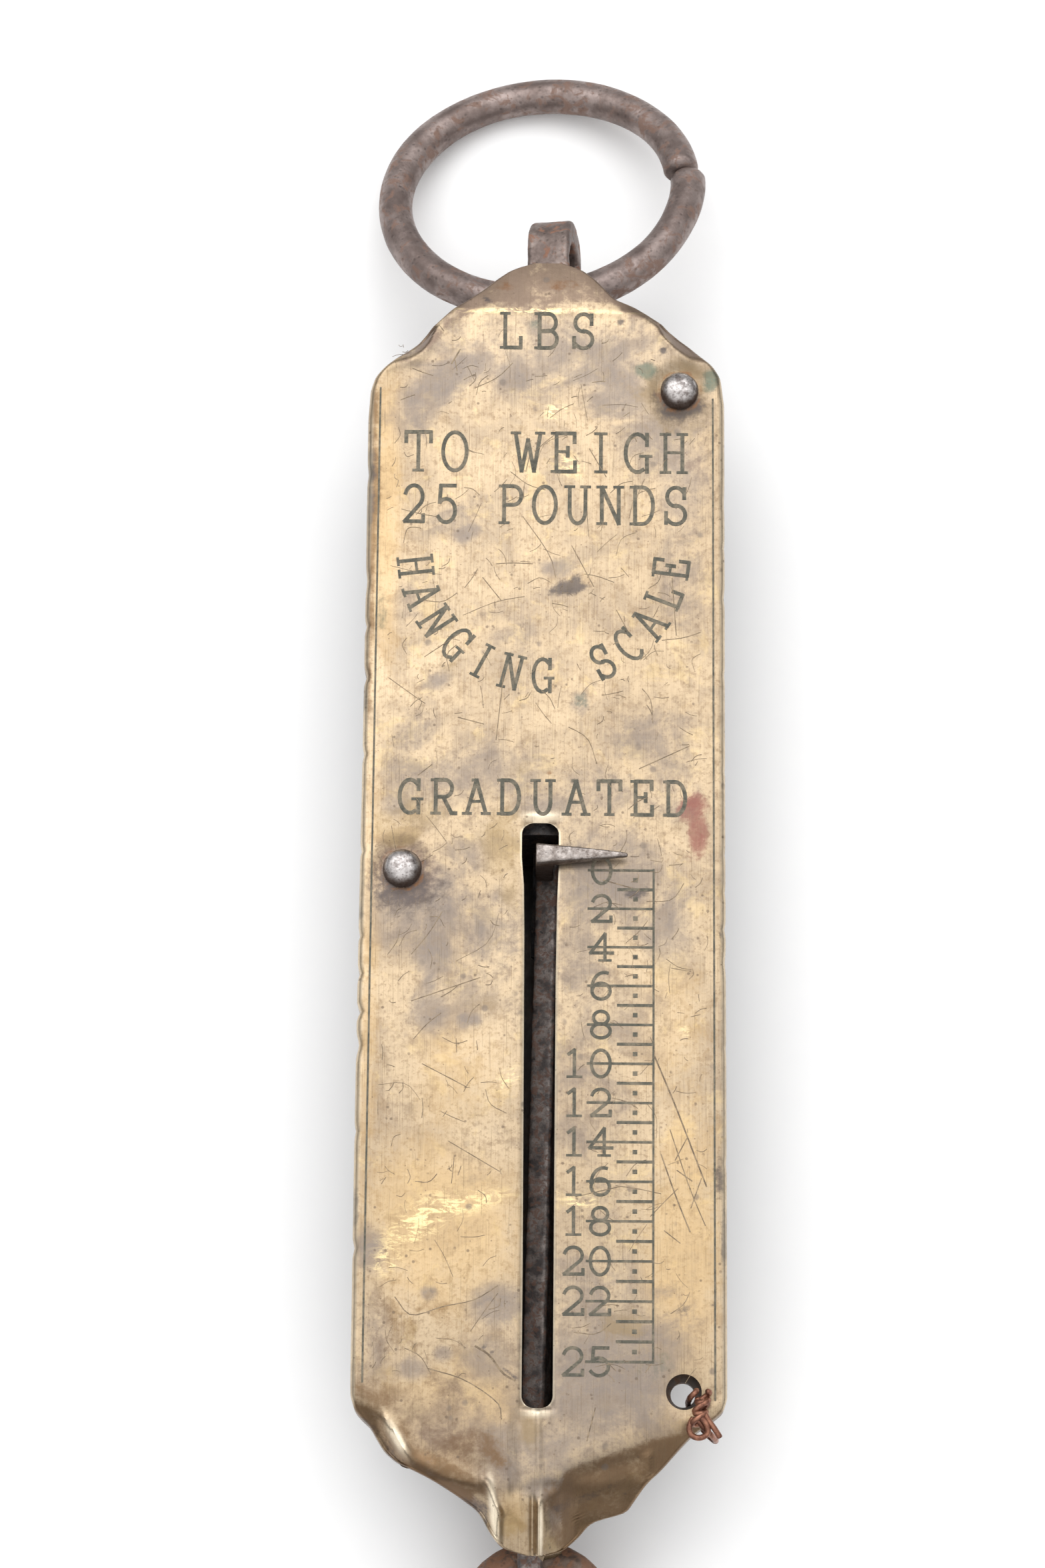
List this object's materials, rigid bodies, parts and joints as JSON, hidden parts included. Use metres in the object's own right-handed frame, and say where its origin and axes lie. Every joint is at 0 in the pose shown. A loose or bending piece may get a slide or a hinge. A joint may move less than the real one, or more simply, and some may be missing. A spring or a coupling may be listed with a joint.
{
  "type": "hanging spring scale",
  "caption": "Hand-held hanging spring scale: slotted brass face on an iron spring case, sliding pointer bar, suspension ring and load hook.",
  "frame": {"origin": "on the flat back of the spring case, under the middle of the brass face", "axes": "+Z is the way the face looks, +Y runs from the load hook to the suspension ring along the case, +X is right seen from the front"},
  "size_m": [0.038, 0.2051, 0.0212],
  "materials": {
    "brass_face": "aged satin brass, brushed grain, stains",
    "case_iron": "worn black japanned iron sheet",
    "rivet_steel": "worn steel, rust at the rim",
    "forged_iron": "old forged iron, brown rust specks",
    "inner_steel": "oiled dark steel",
    "spring_steel": "oiled spring steel",
    "pointer_steel": "bright speckled steel",
    "hook_iron": "rusty brown iron",
    "ring_iron": "dark iron wire with rust",
    "copper_wire": "dull reddish copper"
  },
  "bodies": {
    "case": {"front_plate": "brass_face", "back_channel": "case_iron", "top_end_plate": "case_iron", "bottom_end_plate": "case_iron", "corner_rivet": "rivet_steel", "side_rivet": "rivet_steel", "corner_rivet_washer": "rivet_steel", "side_rivet_washer": "rivet_steel", "suspension_eye": "forged_iron", "eye_pin": "inner_steel", "upper_spring_plug": "inner_steel", "coil_spring": "spring_steel", "seal_wire": "copper_wire"},
    "draw_bar_body": {"draw_bar": "forged_iron", "lower_spring_plug": "inner_steel", "bar_pin": "inner_steel", "pointer": "pointer_steel"},
    "load_hook_body": {"load_hook": "hook_iron"},
    "ring_body": {"suspension_ring": "ring_iron"}
  },
  "joints": [
    {"name": "draw_bar_slide", "type": "slide", "parent": "case", "child": "draw_bar_body", "axis": [0, -1, 0], "range_m": [0, 0.053], "stiffness_N_per_m": 2180, "deforming": ["coil_spring"]},
    {"name": "hook_swing", "type": "hinge", "parent": "draw_bar_body", "child": "load_hook_body", "pos_m": [0.0001, -0.06825, 0.00825], "axis": [1, 0, 0], "range_deg": [-95, 95]},
    {"name": "ring_swing", "type": "hinge", "parent": "case", "child": "ring_body", "pos_m": [0.0002, 0.06715, 0.01315], "axis": [0.9928, 0, 0.1201], "range_deg": [-110, 92]}
  ]
}
